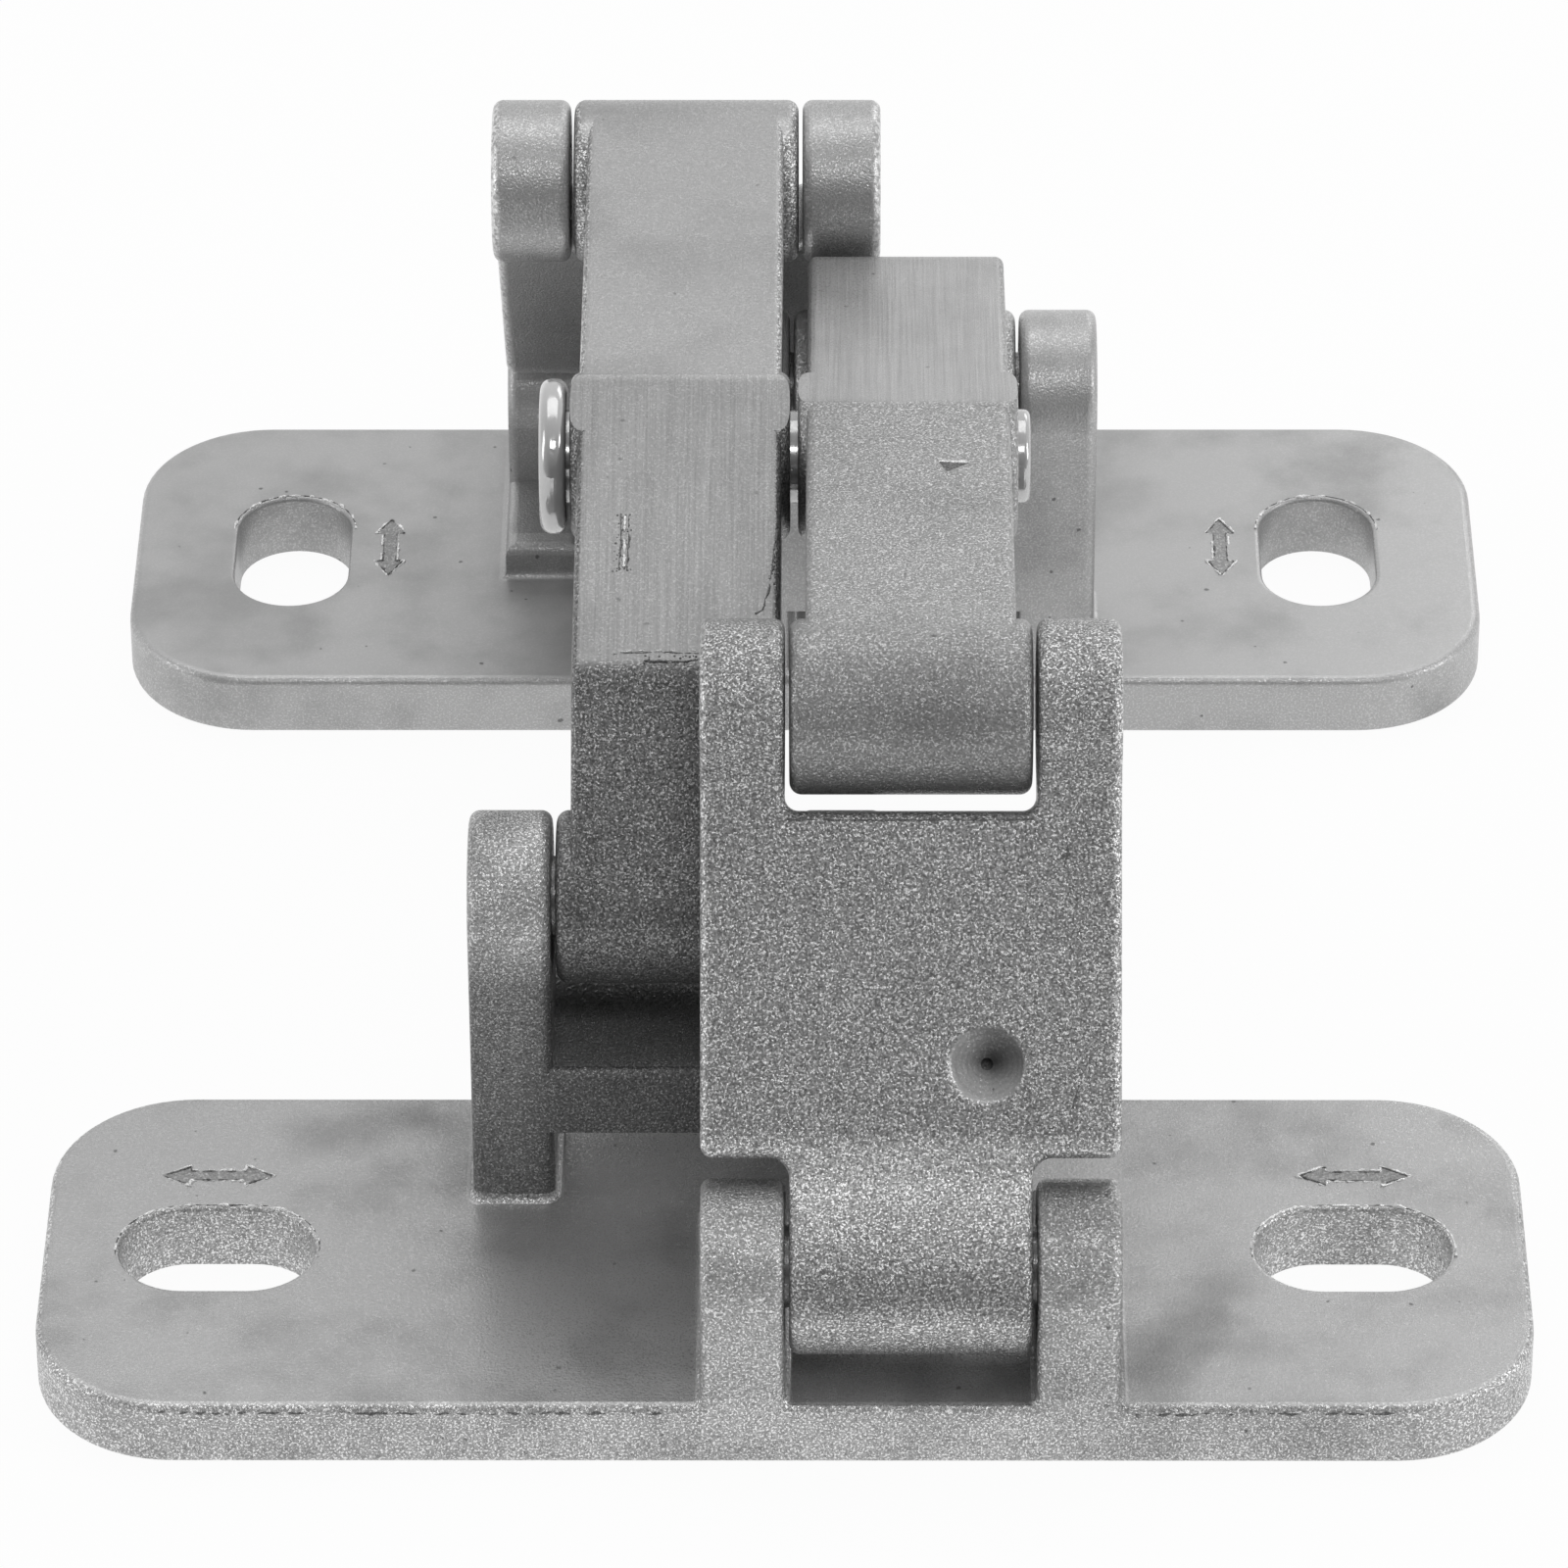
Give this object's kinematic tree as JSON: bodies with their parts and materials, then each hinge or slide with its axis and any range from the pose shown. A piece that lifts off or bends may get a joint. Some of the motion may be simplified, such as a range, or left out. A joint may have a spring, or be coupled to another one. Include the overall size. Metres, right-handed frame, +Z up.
{
  "type": "concealed crossing-arm hinge",
  "caption": "Heavy concealed hinge shown open flat: slotted mounting plates joined by crossing arms on a centre rivet and two short steering links.",
  "frame": {"origin": "middle of the footprint of the opened hinge, on the undersides of the two mounting plates", "axes": "+X along the mounting plates and the pivots, +Y from the front plate to the rear plate, +Z up, away from the mounting surface"},
  "size_m": [0.1112, 0.1314, 0.0534],
  "materials": {
    "plate_casting": "blasted casting, light grey, satin",
    "arm_casting": "blasted casting with belt-ground flats",
    "link_casting": "blasted casting with a sparkling grain",
    "polished_rivet": "polished",
    "pin_steel": "turned"
  },
  "bodies": {
    "front_plate": {"front_mounting_plate": "plate_casting", "front_link_pin": "pin_steel", "left_arm_pin": "pin_steel"},
    "left_arm": {"left_arm": "arm_casting", "centre_rivet": "polished_rivet", "rear_link_top_pin": "pin_steel"},
    "right_arm": {"right_arm": "arm_casting", "front_link_top_pin": "pin_steel"},
    "rear_plate": {"rear_mounting_plate": "plate_casting", "rear_link_pin": "pin_steel", "right_arm_pin": "pin_steel"},
    "front_link": {"front_link": "link_casting", "front_link_top_pin_ends": "pin_steel"},
    "rear_link": {"rear_link": "link_casting", "rear_link_top_pin_ends": "pin_steel"}
  },
  "joints": [
    {"name": "left_arm_swing", "type": "hinge", "parent": "front_plate", "child": "left_arm", "pos_m": [0, -0.03471, 0.0287], "axis": [1, 0, 0], "range_deg": [0, 137.61]},
    {"name": "rivet_turn", "type": "hinge", "parent": "left_arm", "child": "right_arm", "pos_m": [0, 0, 0.0449], "axis": [1, 0, 0], "range_deg": [-95.32, 0]},
    {"name": "rear_plate_swing", "type": "hinge", "parent": "right_arm", "child": "rear_plate", "pos_m": [0, 0.03471, 0.0287], "axis": [1, 0, 0], "range_deg": [0, 137.71]},
    {"name": "front_link_swing", "type": "hinge", "parent": "front_plate", "child": "front_link", "pos_m": [0, -0.05927, 0.0133], "axis": [1, 0, 0], "range_deg": [0, 118.78]},
    {"name": "rear_link_swing", "type": "hinge", "parent": "rear_plate", "child": "rear_link", "pos_m": [0, 0.05927, 0.0133], "axis": [1, 0, 0], "range_deg": [-118.78, 0]}
  ],
  "couplings": [
    {"joint": "rivet_turn", "follows": "left_arm_swing", "ratio": -0.69196},
    {"joint": "rear_plate_swing", "follows": "left_arm_swing", "ratio": 1},
    {"joint": "front_link_swing", "follows": "left_arm_swing", "ratio": 0.86247},
    {"joint": "rear_link_swing", "follows": "left_arm_swing", "ratio": -0.86247}
  ]
}
